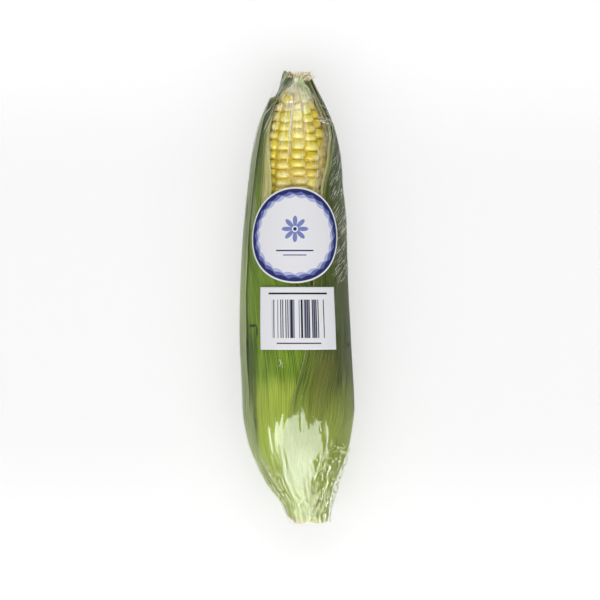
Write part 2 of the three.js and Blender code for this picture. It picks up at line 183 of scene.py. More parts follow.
# A mesh in the scene from points in mm, arrays of faces as their corners' numbers, and values: numbers
# for each point, stored by name for its material.
def meshOf(name, points, faces, values=None):
    data = bpy.data.meshes.new(name)
    sizes = [len(f) * f.shape[1] for f in faces]
    loops = np.concatenate([f.reshape(-1) for f in faces]).astype(np.int32)
    starts = np.concatenate([at + np.arange(0, size, f.shape[1])
                             for f, size, at in zip(faces, sizes, np.cumsum([0] + sizes[:-1]))])
    data.vertices.add(len(points))
    data.vertices.foreach_set("co", (points * mm).astype(np.float32).reshape(-1))
    data.loops.add(len(loops))
    data.loops.foreach_set("vertex_index", loops)
    data.polygons.add(len(starts))
    data.polygons.foreach_set("loop_start", starts.astype(np.int32))
    for label, numbers in (values or {}).items():
        layer = data.attributes.new(label, "FLOAT", "POINT")
        layer.data.foreach_set("value", np.asarray(numbers, np.float32).reshape(-1))
    data.update(calc_edges=True)
    data.validate()
    data.shade_smooth()
    piece = bpy.data.objects.new(name, data)
    bpy.context.scene.collection.objects.link(piece)
    return piece


# A closed thin body between an outer and an inner grid of points. values are the same on both faces, and
# the number "inside" tells them apart.
def shellOf(name, outer, inner, values=None, isRound=False):
    rows, columns = outer.shape[:2]
    size = rows * columns
    points = np.concatenate([outer.reshape(-1, 3), inner.reshape(-1, 3)])
    at = np.arange(size).reshape(rows, columns)
    faces = [gridFaces(rows, columns, isRound), gridFaces(rows, columns, isRound, size)[:, ::-1]]
    if not isRound:
        faces += [stripFaces(at[:, 0], at[:, 0] + size)[:, ::-1], stripFaces(at[:, -1], at[:, -1] + size)]
    first, last = [np.append(at[i], at[i, 0]) if isRound else at[i] for i in (0, -1)]
    faces += [stripFaces(first, first + size), stripFaces(last, last + size)[:, ::-1]]
    both = {label: np.tile(np.broadcast_to(n, (rows, columns)).reshape(-1), 2)
            for label, n in (values or {}).items()}
    both["inside"] = np.repeat([0.0, 1.0], size)
    return meshOf(name, points, [np.concatenate(faces)], both)


# A closed solid from rows of points that close on themselves, with a pole at each end. values are pairs:
# numbers for the rows' points, and for the two poles.
def lumpOf(name, grid, start, end, values=None):
    rows, columns = grid.shape[:2]
    size = rows * columns
    points = np.concatenate([grid.reshape(-1, 3), [start, end]])
    caps = [poleFaces(size, 0, columns, False), poleFaces(size + 1, size - columns, columns, True)]
    full = {label: np.concatenate([np.broadcast_to(n, (rows, columns)).reshape(-1), ends])
            for label, (n, ends) in (values or {}).items()}
    return meshOf(name, points, [gridFaces(rows, columns, True), np.concatenate(caps)], full)


# Threads: tubes of few sides. paths is (threads, points, 3) and thick (threads, points); values are
# numbers for each thread's points. Pressed flat, a thread lies square to the direction `away`.
def threadsOf(name, paths, thick, values=None, sides=4, away=(0.13, 0.0, 1.0), flat=1.0):
    count, length = paths.shape[:2]
    along = np.gradient(paths, axis=1)
    along /= np.linalg.norm(along, axis=2, keepdims=True)
    side = np.cross(np.array(away), along)
    side /= np.linalg.norm(side, axis=2, keepdims=True)
    up = flat * np.cross(along, side)
    turn = np.arange(sides) * 2 * np.pi / sides
    out = side[:, :, None] * np.sin(turn)[:, None] + up[:, :, None] * np.cos(turn)[:, None]
    tubes = paths[:, :, None] + out * (thick / 2)[:, :, None, None]
    points = np.concatenate([tubes.reshape(-1, 3), paths[:, 0], paths[:, -1]])
    starts = np.arange(count) * length * sides
    walls = (starts[:, None, None] + gridFaces(length, sides, True)).reshape(-1, 4)
    poles = count * length * sides + np.arange(count)
    near = poleFaces(poles, starts, sides, False)
    far = poleFaces(poles + count, starts + (length - 1) * sides, sides, True)
    full = {}
    for label, n in (values or {}).items():
        n = np.broadcast_to(n, (count, length))
        full[label] = np.concatenate([np.repeat(n[:, :, None], sides, 2).reshape(-1), n[:, 0], n[:, -1]])
    return meshOf(name, points, [walls, np.concatenate([near, far])], full)


def paint(code):  # "RRGGBB" as it looks on a screen, to the shader's own numbers
    shares = [int(code[i:i + 2], 16) / 255 for i in (0, 2, 4)]
    return tuple(c / 12.92 if c < 0.04045 else ((c + 0.055) / 1.055) ** 2.4 for c in shares) + (1.0,)


class Wire:  # one output of a node; sums, products, powers and comparisons of it add Math nodes
    def __init__(self, finish, socket):
        self.finish = finish
        self.socket = socket

    def math(self, operation, *others):
        return self.finish.node("Math", {"operation": operation}, [self, *others])

    __add__ = __radd__ = partialmethod(math, "ADD")
    __sub__ = partialmethod(math, "SUBTRACT")
    __mul__ = __rmul__ = partialmethod(math, "MULTIPLY")
    __truediv__ = partialmethod(math, "DIVIDE")
    __pow__ = partialmethod(math, "POWER")
    __gt__ = partialmethod(math, "GREATER_THAN")
    __lt__ = partialmethod(math, "LESS_THAN")
    __abs__ = partialmethod(math, "ABSOLUTE")
    capped = partialmethod(math, "MINIMUM", 1.0)

    def __rsub__(self, other):
        return self.finish.node("Math", {"operation": "SUBTRACT"}, [other, self])

    def step(self, low, high):  # an S from 0 at low to 1 at high
        ends = {"Value": self, "From Min": low, "From Max": high}
        return self.finish.node("MapRange", {"interpolation_type": "SMOOTHSTEP"}, ends)

    def fall(self, low, high):  # the same from 1 down to 0
        return 1 - self.step(low, high)


class Finish:  # a node tree, its nodes made by one method
    def __init__(self, owner):
        self.owner = owner
        owner.use_nodes = True
        self.tree = owner.node_tree
        self.tree.nodes.clear()

    # Makes a node: its settings first, then a value or a wire for each socket, by name or by order.
    def node(self, kind, settings=None, inputs=None, output=0):
        made = self.tree.nodes.new("ShaderNode" + kind)
        for key, value in (settings or {}).items():
            setattr(made, key, value)
        pairs = inputs.items() if isinstance(inputs, dict) else enumerate(inputs or [])
        for key, value in pairs:
            if isinstance(value, Wire):
                self.tree.links.new(value.socket, made.inputs[key])
            else:
                made.inputs[key].default_value = value
        return Wire(self, made.outputs[output])

    def number(self, label):  # a number stored on the mesh's points
        return self.node("Attribute", {"attribute_name": label}, output="Fac")

    def numbers(self, *labels):
        return [self.number(label) for label in labels]

    def split(self, vector):
        parts = self.node("SeparateXYZ", None, [vector])
        return [Wire(self, socket) for socket in parts.socket.node.outputs]

    def place(self):  # x, y, z of the surface in mm
        spot = self.node("TexCoord", output="Object")
        inputs = {0: spot, "Scale": 1 / mm}
        return self.split(self.node("VectorMath", {"operation": "SCALE"}, inputs))

    def vector(self, x, y, z=0.0):
        return self.node("CombineXYZ", None, [x, y, z])

    def noise(self, place, scale=1.0, detail=2.0, roughness=0.5):
        inputs = {"Vector": self.vector(*place), "Scale": scale, "Detail": detail, "Roughness": roughness}
        return self.node("TexNoise", None, inputs)

    def blend(self, share, a, b, mode="MIX"):  # colours a to b, as wires, numbers or codes
        a, b = [paint(colour) if isinstance(colour, str) else colour for colour in (a, b)]
        settings = {"data_type": "RGBA", "blend_type": mode}
        return self.node("Mix", settings, {0: share, 6: a, 7: b}, output=2)

    def bump(self, height, strength=1.0):  # height in mm
        inputs = {"Height": height, "Strength": strength, "Distance": mm}
        return self.node("Bump", None, inputs)

    def surface(self, **inputs):  # a Principled shader, its sockets' names joined up
        names = {
            "baseColour": "Base Color", "roughness": "Roughness", "normal": "Normal", "metallic": "Metallic",
            "coat": "Coat Weight", "coatRoughness": "Coat Roughness", "shine": "Specular IOR Level",
            "under": "Subsurface Weight", "underReach": "Subsurface Radius", "underScale": "Subsurface Scale",
            "glow": "Emission Color", "glowStrength": "Emission Strength",
        }
        return self.node("BsdfPrincipled", None, {names[k]: v for k, v in inputs.items()})

    def veil(self, share, shader):  # the shader where share is 1, and nothing to see where it is 0
        clear = self.node("BsdfTransparent")
        return self.node("MixShader", None, [share, clear, shader])

    def done(self, shader, end="OutputMaterial"):
        self.tree.links.new(shader.socket, self.tree.nodes.new("ShaderNode" + end).inputs["Surface"])
        return self.owner


def finishFor(name):
    return Finish(bpy.data.materials.new(name))


def placePiece(piece, material, slot, *nodes):
    piece.data.materials.append(material)
    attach(piece, "root")
    if nodes:
        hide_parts(*nodes)


# Kernels: rows of pillows round the cob. In a kernel's own square, where u and v run from -1 to 1,
# r = (|u|^corner + |v|^corner)^(1/corner) is 1 on an outline with rounded corners, and the pillow stands
# (1 - r^fullness)^(1/2) of the groove's depth over it.
kernels = {
    "rows": 14,
    "frontAngle": 84.4,
    "inRow": 40,
    "shown": 13,  # of them, from the tip
    "shownRows": 3,  # on each side of the front one
    "across": (18, 6),  # points across a kernel that shows, and one under the husk
    "along": (14, 5),
    "stagger": 0.36,  # in kernels, that a row may be shifted along
    "lengths": 0.26,  # the same for each groove across it
    "grooveDepth": 2.2,
    "corner": 2.8,
    "fullness": 1.9,
    "uneven": 0.7,
    "wander": 3.0,  # degrees that the rows stray
    "crowd": 0.2,  # how much wider the front rows are
    "interlock": 3.4,  # degrees that a kernel's middle pushes in between its neighbours
    "youngFrom": 90,  # y, and the mm over which they grow young
    "youngOver": 12,
    "plump": (1, 1),  # row and number of one full kernel among the young ones
    "swell": {"place": 1.0, "y": 99.6, "across": 0.9, "along": 4.0, "by": 0.55},  # it crowds its neighbours
    "tones": ("DEC42E", "F2E654"),
    # painted highlight: the lighter oval over each kernel's crown
    "crown": "FAF4B4",
    "young": "F4F1D2",
    # painted shade in the grooves between kernels, paler on the young ones
    "groove": "C6B044",
    "youngGroove": "E2D8A4",
}
kernelY = profile([  # the kernels' grooves along a row, by number
    (-0.5, 106.4), (0.5, 103.2), (1.5, 99.4), (2.5, 94.8), (3.5, 89.9), (5, 82.4), (8, 68.2), (12, 50.4),
    (20, 14.0), (40.5, -98.9),
])


def rowPhase(row):  # how far a row's kernels are shifted along the ear, in kernels
    s = np.sin((row + 40) * 12.9898 + 4.1414) * 43758.5453
    return kernels["stagger"] * (2 * (s - np.floor(s)) - 1)


def ringRow(row):  # rows counted on round the cob come back to the first
    half = kernels["rows"] // 2
    return (row + half) % kernels["rows"] - half


# How far along its kernel a place in a row is, as 0 in the grooves and 1 half way between them.
def bulge(row, y):
    numbers = np.linspace(-0.5, 40.5, 1200)
    number = np.interp(-y, -kernelY(numbers), numbers) - rowPhase(ringRow(row))
    return 1 - (2 * (number - np.floor(number)) - 1) ** 2


def makeKernels():
    k = kernels
    half = k["rows"] // 2
    places = []
    for row in range(-half, half):
        count = k["across"][abs(row) > k["shownRows"]]
        ends = -1 + 2 * np.arange(count) / count
        places += [(row, u) for u in np.sin(ends * np.pi / 2)]
    row, u = np.array(places).T
    counts = [k["along"][n >= k["shown"]] for n in range(k["inRow"])]
    station = np.concatenate([n + np.arange(c) / c for n, c in enumerate(counts)])[::-1][:, None]
    kernel = np.floor(station)
    along = np.sin((station - kernel - 0.5) * np.pi) / 2 + 0.5

    def groove(r, number):
        return kernelY(number + rowPhase(r) + k["lengths"] * (scatter(r, number, 1) - 0.5))

    def lineY(r):  # where the stations fall on a row whose kernels are a little uneven
        r = ringRow(r)
        return mix(groove(r, kernel), groove(r, kernel + 1), along)

    beside = 0.5 * smooth((np.abs(u) - 0.7) / 0.3)
    side = np.sign(u)
    y = mix(lineY(row), lineY(row + side), beside)
    v = 2 * along - 1
    r = np.minimum((np.abs(u) ** k["corner"] + np.abs(v) ** k["corner"]) ** (1 / k["corner"]), 1)
    pillow = np.sqrt(1 - r ** k["fullness"])
    own = [scatter(row, kernel, n) - 0.5 for n in (2, 3, 4, 5)]
    isPlump = (row == k["plump"][0]) & (kernel == k["plump"][1])
    young = smooth((y - k["youngFrom"]) / k["youngOver"] + 0.3 * own[3]) * ~isPlump
    size = k["uneven"] * own[0] + 0.3 * own[1] * u + 0.35 * own[2] * v + 0.5 * isPlump - 0.5 * young
    crown = crownRadius(y)
    depth = np.minimum(k["grooveDepth"], 0.2 * crown) * (1 - 0.35 * young)
    place = row + u / 2
    step = 360 / k["rows"]
    angle = k["frontAngle"] + step * (place + k["crowd"] * np.sin(2 * np.pi * place / k["rows"]))
    shown = smooth(k["shownRows"] + 0.5 - np.abs(place))
    push = side * (bulge(row, y) - bulge(row + side, y)) * np.abs(u) ** 3
    angle = angle + (k["wander"] * relief(y / 7, place, 5) + k["interlock"] * push) * shown
    w = k["swell"]
    offAcross, offAlong = place - w["place"], y - w["y"]
    swollen = w["by"] * hump(offAcross, 0, w["across"]) * hump(offAlong, 0, w["along"])
    angle = angle + swollen * offAcross * step
    y = y + swollen * offAlong
    grid = overCob(angle, y, crown - depth * (1 - pillow) + pillow * (size + 1.2 * swollen))
    foot = overCob(0, np.array(-100.2), 0)
    tip = overCob(0, np.array(107.6), 0)
    values = {
        "tone": (scatter(row, kernel, 7), [0.5, 0.5]),
        "crest": (pillow, [0, 0]),
        "sideways": (u, [0, 0]),
        "up": (v, [0, 0]),
        "young": (young, [0, 1]),
    }
    return lumpOf("kernels_fine", grid, foot, tip, values)


# Colour: two yellows by each kernel's tone, a painted highlight as a lighter oval above its crown's middle,
# paler on the young kernels at the tip, and painted shade in amber in the grooves. The skin is taut and
# moist, more so towards the ear's tip.
def kernelSkin():
    f = finishFor("kernelSkin")
    x, y, z = f.place()
    tone, crest, young, up, sideways = f.numbers("tone", "crest", "young", "up", "sideways")
    speck = f.noise((x, y, z), 1.3, 3.0, 0.6)
    base = f.blend((tone * 0.8 + speck * 0.5).step(0.25, 1.05), *kernels["tones"])
    # a painted highlight: a lighter oval above each crown's middle, shifted by the kernel's tone
    offside, above = sideways - (tone - 0.5) * 0.7, up - 0.05 - tone * 0.4
    fromPaintedHighlight = (offside / 0.75) ** 2.0 + (above / 0.55) ** 2.0 + (speck - 0.5) * 2.2
    base = f.blend(fromPaintedHighlight.fall(0.1, 1.2) * 0.55, base, kernels["crown"])
    base = f.blend(young * (speck * 0.5 + 0.5), base, kernels["young"])
    # painted shade: amber in the grooves, paler on the young kernels
    groove = f.blend(young, kernels["groove"], kernels["youngGroove"])
    base = f.blend(crest.fall(0.02, 0.42) * 0.7, base, groove)
    waxy = f.bump(speck * 0.2 + f.noise((x, y, z), 0.45, 1.0) * 0.25, 0.6)
    moist = up.step(-0.5, 0.2)
    return f.done(f.surface(
        baseColour=base, roughness=0.64 - moist * 0.24 + speck * 0.1, normal=waxy, shine=0.3,
        coat=moist * 0.22, coatRoughness=0.2, under=0.06, underReach=(0.8, 0.8, 0.25), underScale=1.2 * mm))


placePiece(makeKernels(), kernelSkin(), "kernel_skin", "kernels")
print("kernels made")


# Husk leaves, outermost first: each runs round the ear from its angle `from` to its angle `to`, and
# along it from its cut base to its cut end.
leaves = [
    {
        "name": "husk_right",
        "from": profile([(-113, -98), (111, -88)]),
        "to": profile([
            (-112, 156), (-104, 149), (-94, 128), (-85, 115), (-77, 111), (-68, 105), (-58, 98), (-49, 95),
            (-41, 89), (-27, 80), (0, 71), (20, 66), (40, 57), (51, 52), (57, 48), (64, 40), (70, 36),
            (76, 29), (82, 21), (90, 16), (96, 20), (103, 17), (111, 12),
        ]),
        "base": (-112.5, -110.6),
        "end": (108.4, 111.4),
        "veins": 62,
        "streaks": ("3C5610", "7C9030"),
        "spots": [(19, -24.0, 6, 1.5), (9.5, -29, 3.5, 5.0)],  # angle, y, half their width and height
        "stains": {"x": (4.0, 15.0), "y": (-30.0, -66.0)},
        "zones": [  # colour, share, and where it starts and is full: along x and y in mm, or by angle
            ("354018", 0.95, {"x": (6, 14), "y": (-56, -22)}),
            ("7E7A44", 0.45, {"x": (6, 12), "y": (-20, -34)}),
            ("363F22", 0.8, {"x": (17, 22)}),
            ("3E4E2C", 0.75, {"y": (30, 70)}),
            ("A6B850", 0.8, {"y": (-37, -70)}),
            ("B6C664", 0.7, {"y": (-84, -104)}),
            ("8A9C3A", 0.75, {"x": (8, 13), "y": (-74, -86)}),
        ],
    },
    {
        "name": "husk_side",
        "tuck": profile([(-46, 0.7), (-30, 0)]),  # mm that its edges bend down on the leaves below
        "from": profile([(-112, 168), (-80, 158), (0, 152), (70, 152), (90, 156), (99, 168)]),
        "to": profile([(-113, 280), (111, 284)]),
        "base": (-109.4, -112.5),
        "end": (98.2, 103.4),
        "veins": 36,
        "streaks": ("7F8F5A", "B4C08C"),
        "spots": [(163, 43, 1.8, 6)],
        "zones": [
            ("5E6A48", 0.6, {"y": (8, 30)}),
            ("98A184", 0.8, {"y": (54, 74)}),
            ("75845A", 0.5, {"y": (-5, -24)}),
            ("B4C27A", 0.6, {"y": (-50, -80)}),
        ],
    },
    {
        "name": "husk_left",
        "from": profile([
            (-112, 54), (-90, 42), (-40, 42), (-15, 50), (0, 64), (12, 82), (24, 103), (36, 128), (44, 138),
            (58, 138), (73, 141), (83, 143), (90, 142), (95, 139), (99, 133),
        ]),
        "to": profile([(-113, 196), (95, 188), (104, 200)]),
        "base": (-112.5, -110.4),
        "end": (99.4, 99.0),
        "veins": 40,
        "streaks": ("466A0A", "8AAA2A"),
        "spots": [(142, -14.4, 8, 0.8), (134.5, -17.4, 1.2, 3.2)],
        "zones": [
            ("BBCC50", 0.85, {"y": (-36, -50)}),
            ("C2CF7C", 0.5, {"y": (-80, -104)}),
            ("344016", 0.9, {"y": (35, 75)}),
            ("4E5A3A", 0.7, {"y": (78, 94)}),
            ("1E3C00", 0.95, {"x": (-18.5, -21), "y": (-8, -26)}),
            # painted light: a paler band along the side leaf's covered edge, lifting the shade in the trench
            # there
            ("B4C08C", 0.7, {"angle": (143, 150), "y": (-46, -60)}),
            # painted reflection: a pale grey-green band along the left outline
            ("A4AC8E", 0.85, {"x": (-20.2, -21.6), "y": (20, 50)}),
        ],
    },
    {
        "name": "husk_inner_left",
        "inner": True,
        "from": profile([
            (-112, 84), (-20, 82), (0, 84), (12, 88), (24, 96), (36, 112), (46, 121), (53, 120), (60, 123),
            (70, 128), (80, 136), (88, 139), (95, 141), (98.5, 150), (101, 144), (104.5, 118), (108, 97),
            (110, 101), (113, 116),
        ]),
        "to": profile([(-113, 206), (111, 216)]),
        "base": (-112.5, -112.5),
        "end": (111.6, 112.8),
        "veins": 34,
        "streaks": ("C0BC68", "E8E5A8"),
        "crossed": ("3E4A30", "C2CAAE", (84, 94)),  # greens of the folded tip, where fibres cross it
        "zones": [("828D63", 0.9, {"y": (97, 101)}), ("A3AA74", 0.7, {"y": (-80, -105)})],
    },
    {
        "name": "husk_inner_right",
        "inner": True,
        "from": profile([(-113, -30), (111, -34)]),
        "to": profile([
            (-112, 79), (-20, 77), (0, 74), (20, 69), (40, 61), (51, 56), (57, 53), (64, 46), (70, 41),
            (76, 35), (82, 27), (90, 21), (96, 26), (103, 24), (110, 22),
        ]),
        "base": (-112.5, -112.5),
        "end": (107.2, 110.2),
        "veins": 30,
        "streaks": ("98A052", "D2D296"),
        "zones": [("A9AE7C", 0.6, {"y": (78, 100)}), ("A3AA74", 0.7, {"y": (-80, -105)})],
    },
    {
        "name": "husk_inner_back",
        "inner": True,
        "from": profile([(-113, 188), (111, 182)]),
        "to": profile([(-113, 350), (111, 356)]),
        "base": (-112.5, -112.5),
        "end": (109.2, 109.2),
        "veins": 26,
        "streaks": ("9FA55C", "C9CB90"),
        "zones": [("8A9462", 0.6, {"y": (70, 105)})],
    },
]
husk = {
    "pointsInVein": 4,  # across a leaf
    "pointsAlong": 126,
    "pastEdge": 10,  # degrees past a leaf's edge that the leaves below stay pushed in
    "fade": 30,
    "pastEnd": 3,  # the same in mm past a leaf's cut end
    "fadeEnd": 6,
    "ribHeight": 0.11,
    "edgeThick": 0.16,
    "edgeWidth": 5.0,  # mm over which a leaf thins out to its edge
    "tuckWidth": 3.5,  # mm over which a leaf's edge tucks down
    "closer": 0.38,  # mm that the right leaf's side lies closer under the film
    "fold": {"depth": 2.0, "angle": -6, "spread": 34, "y": -95, "reach": 12},  # where the film stands off
    "grains": [  # fine, fibre, patch: waves in a vein and in a mm, seed, detail, roughness
        (4.2, 0.03, 0.0, 2.0, 0.7), (2.1, 0.016, 3.0, 2.0, 0.6), (0.16, 0.03, 7.0, 3.0, 0.6),
    ],
    "linesInVein": 2.1,  # pale lines for each rib
    "line": "CCD88A",
    "between": "9AA080",  # what the leaf is darkened by between the lines
    "streak": "8A9280",  # and in its dark streaks
    "streakDepth": 0.45,
    "dry": "C9C68C",  # margins
    "cut": "B9A968",
    # the inner face's pale colour is partly its own and partly painted light against its shade
    "within": "C9CA8E",  # the pale inner face
    "spot": "26251A",
    "stain": "6E5424",
}


def cover(leaf, angle, y):  # how much of a leaf lies over a place, from 0 to 1
    start, stop = leaf["from"](y), leaf["to"](y)
    near = turned(angle, (start + stop) / 2)
    outside = np.maximum(start - near, near - stop)
    beyond = y - max(leaf["end"]) - husk["pastEnd"]
    return (1 - smooth((outside - husk["pastEdge"]) / husk["fade"])) * (1 - smooth(beyond / husk["fadeEnd"]))


# Depth of a leaf under the outline: below the film, and below each leaf over it.
def leafDepth(order, angle, y):
    over = sum((cover(leaf, angle, y) for leaf in leaves[:order]), 0)
    fold = husk["fold"]
    room = fold["depth"] * around(angle, fold["angle"], fold["spread"]) * hump(y, fold["y"], fold["reach"])
    return ear["filmThick"] + ear["leafGap"] + room + (ear["leafThick"] + ear["leafGap"]) * over


# Where film and leaf cling together: the ear's right side, but for the crumpled patch.
def clinging(angle, y):
    return smooth((66 - np.abs(turned(angle + 28))) / 14) * smooth((y + 64) / 10)


# A leaf: s runs across it and t along it. Its outer face lies at its depth in the husk, less a rounded
# rib over each vein, and bends down at its edges; its inner face is a thickness below, thinning there.
def makeLeaf(leaf, order):
    veins = leaf["veins"]
    s = np.linspace(0, 1, veins * husk["pointsInVein"] + 1)
    t = np.linspace(0, 1, husk["pointsAlong"])[:, None]
    ragged = 0.45 * relief(s * veins * 1.3, 0 * s, order + 11)
    ragged = ragged + 0.25 * relief(s * veins * 4, 0 * s, order + 31)
    base, end = mix(*leaf["base"], s), mix(*leaf["end"], s)
    y = mix(base + ragged, end + ragged, t)
    wave = 0.9 * relief(y / 17, 3.1 * order + 0 * y, 21) + 0.4 * relief(y / 6, 3.1 * order + 0 * y, 22)
    start, stop = leaf["from"](y), leaf["to"](y)
    angle = mix(start, stop, s) + wave * (smooth(1 - 12 * s) - smooth(12 * s - 11))
    reach = halfWidth(y) * np.radians(stop - start)
    margin = np.minimum(s, 1 - s) * reach
    vein = s * veins
    strength = 0.55 + 0.45 * scatter(np.floor(vein + 0.5), order, 3)
    rib = husk["ribHeight"] * strength * np.cos(np.pi * (vein - np.round(vein))) ** 2
    ease = smooth(margin / 1.5)
    drift = 0.05 * relief(vein / 5, y / 14, order + 41)
    under = leafDepth(order, angle, y)
    if "tuck" in leaf:
        under = under + leaf["tuck"](y) * (1 - smooth(margin / husk["tuckWidth"]))
    if order == 0:
        under = under - husk["closer"] * clinging(angle, y)
    depth = under - (0 if "inner" in leaf else 1) * rib * ease - drift * ease
    thick = mix(husk["edgeThick"], ear["leafThick"] - 0.1, smooth(margin / husk["edgeWidth"]))
    values = {
        "vein": vein + 97.3 * order,
        "along": y,
        "margin": margin,
        "rib": rib / husk["ribHeight"],
        "angle": angle,
        "cut": np.minimum(y - base, end - y),
    }
    return shellOf(leaf["name"] + "_fine", skin(angle, y, depth), skin(angle, y, under + thick), values)


# Other greens that come in along the ear, each with a wavy start; a few of them are painted light and a
# painted reflection, marked where they are listed.
def addZones(f, base, leaf, streak, patch, places):
    for colour, share, reaches in leaf["zones"]:
        zone = share
        for axis, (start, full) in reaches.items():
            wobble = (patch - 0.5) * (abs(full - start) * 0.9 + 2)
            zone = zone * (places[axis] + wobble).step(start, full)
        base = f.blend(zone, base, f.blend(streak * 0.35, colour, base))
    return base


# Pale lines, duller leaf between them, and dark streaks.
def addLines(f, base, leaf, vein, fine, patch):
    wave = (vein * (math.tau * husk["linesInVein"]) + patch * 5.0).math("COSINE")
    lines, between = wave.step(0.2, 1.0) * fine.step(0.3, 0.6), (0 - wave).step(0.3, 1.0)
    base = f.blend(lines * (0.12 if "inner" in leaf else 0.28), base, husk["line"])
    base = f.blend(between * 0.3, base, f.blend(1.0, base, husk["between"], "MULTIPLY"))
    dark = f.blend(1.0, base, husk["streak"], "MULTIPLY")
    return f.blend(fine.fall(0.34, 0.56) * husk["streakDepth"], base, dark)


# Brown stains in a box of places, and dark ragged spots.
def addMarks(f, base, leaf, fine, fibre, places):
    x, along, angle = places["x"], places["y"], places["angle"]
    if "stains" in leaf:
        (x0, x1), (y0, y1) = leaf["stains"]["x"], leaf["stains"]["y"]
        where = x.step(x0, x0 + 3) * x.fall(x1 - 3, x1) * along.step(y0, y0 - 6) * along.fall(y1 + 6, y1)
        base = f.blend(where * (fibre * 0.6 + fine * 0.4).step(0.5, 0.62) * 0.6, base, husk["stain"])
    for spotAngle, spotY, wide, tall in leaf.get("spots", []):
        off = ((angle - spotAngle) / wide) ** 2.0 + ((along - spotY) / tall) ** 2.0
        off = off + (f.noise(places["all"], 1.1, 3.0) - 0.5) * 2.4
        base = f.blend(off.fall(0.3, 1.3) * 0.95, base, husk["spot"])
    return base


# Colour: fine streaks are noise drawn out along the leaf, between its two greens; zones come in along the
# ear, some of them painted light;
# margins and cut ends dry to straw; the inner face is pale, partly its own colour and partly painted light
# against its shade. The relief is the same streaks.
def leafSkin(leaf):
    f = finishFor(leaf["name"] + "Skin")
    x, y, z = f.place()
    vein, along, margin, rib, cut, angle = f.numbers("vein", "along", "margin", "rib", "cut", "angle")
    places = {"x": x, "y": along, "angle": angle, "all": (x, y, z)}
    fine, fibre, patch = [f.noise((vein * across, along * lengthwise, seed), 1.0, detail, roughness)
                          for across, lengthwise, seed, detail, roughness in husk["grains"]]
    streak = (fine * 0.4 + fibre * 0.55 + patch * 0.15 + rib * 0.05).step(0.42, 0.74)
    base = f.blend(streak, *leaf["streaks"])
    base = addZones(f, base, leaf, streak, patch, places)
    base = addLines(f, base, leaf, vein, fine, patch)
    dryTo, dryShare = (1.6, 0.6) if "inner" in leaf else (0.8, 0.4)
    base = f.blend(margin.fall(0.1, dryTo) * dryShare, base, husk["dry"])
    base = f.blend(cut.fall(0.2, 1.6) * 0.6, base, husk["cut"])
    if "crossed" in leaf:
        dull, bright, (start, full) = leaf["crossed"]
        slanted = f.noise((x * 1.3 - y * 1.0, x * 0.06 + y * 0.08, 5.0), 1.0, 2.0, 0.6)
        fibres = f.blend(slanted.step(0.42, 0.6), dull, bright)
        base = f.blend(along.step(start, full) * 0.9, base, fibres)
    base = addMarks(f, base, leaf, fine, fibre, places)
    # the pale inner face, partly painted light against its shade
    base = f.blend(f.number("inside") * 0.6, base, husk["within"])
    grain = f.bump(fine * 0.12 + fibre * 0.08, 0.6)
    return f.done(f.surface(
        baseColour=base, roughness=0.44 + fine * 0.16, normal=grain, shine=0.12,
        under=0.06, underReach=(0.6, 1.0, 0.25), underScale=0.8 * mm))


for order, leaf in enumerate(leaves):
    slot = "pale_husk" if "inner" in leaf else "green_husk"
    placePiece(makeLeaf(leaf, order), leafSkin(leaf), slot, leaf["name"])
print("husk made")


# Film: the outline, sunk where it spans the opened husk, with wrinkles.
film = {
    "ys": (-112.6, -76, 110.4),  # its ends, and where its points start to lie further apart
    "floorY": -113.1,  # where it folds over the cut base
    "folded": (4.6, 6.5, 8.6, 9.7),  # radii of its rings there, from its hole outwards
    "sagFromEdge": 10,
    "sagStart": 50,
    "sagFull": 66,
    "silkRoom": 0.8,
    "tuft": 4.6,
    "gap": 0.3,
    "slack": 0.2,  # mm under the outline, less by `cling` where it clings
    "cling": 0.12,
    "lowest": (-0.33, -0.06),  # its relief, and where it clings
    "highest": 1.6,
    "rim": (0.27, 0.05),  # its mirror share at grazing angles, and where it clings
    "base": 0.018,  # the same straight on
    "tint": (0.95, 0.97, 0.95, 1.0),
    # the colour of the painted glints where it is crumpled
    "paintedGlint": "EEF2CC",
    "creased": (-112.4, 109),  # ys that its creases keep within
}
roundLabel = {"x": -1.0, "y": 30.1, "radius": 23.6, "thick": 0.12, "lift": 0.16}
oblongLabel = {"x": 0.9, "y": -10.75, "width": 39.4, "height": 30.8, "thick": 0.12, "lift": 0.16}


# Across the opening the film runs straight from just inside each leaf's edge to where it touches the
# silk: edge radius minus the straight line's distance, edge cos(lift) / cos(off).
def filmSag(angle, y):
    left = np.where(y > 97, 100, leaves[2]["from"](y))
    right = leaves[0]["to"](y)
    half = np.radians(np.maximum((left - right) / 2 - film["sagFromEdge"], 0.01))
    share = smooth((y - film["sagStart"]) / (film["sagFull"] - film["sagStart"]))
    edge = ear["roundness"] * halfWidth(y) - ear["filmThick"]
    filled = np.maximum(crownRadius(y), film["tuft"]) + film["silkRoom"]
    inside = np.minimum(filled + cobRaise(y) + film["gap"], edge)
    lift = np.minimum(half, np.arccos(inside / edge))
    off = np.clip(np.radians(np.abs(angle - (left + right) / 2)) - (half - lift), 0, lift)
    return share * (edge - edge * np.cos(lift) / np.cos(off))


def spread(places, counts):  # numbers that run through the places, with so many steps between each two
    runs = zip(places, places[1:], counts)
    return np.concatenate([np.linspace(a, b, n, endpoint=False) for a, b, n in runs])


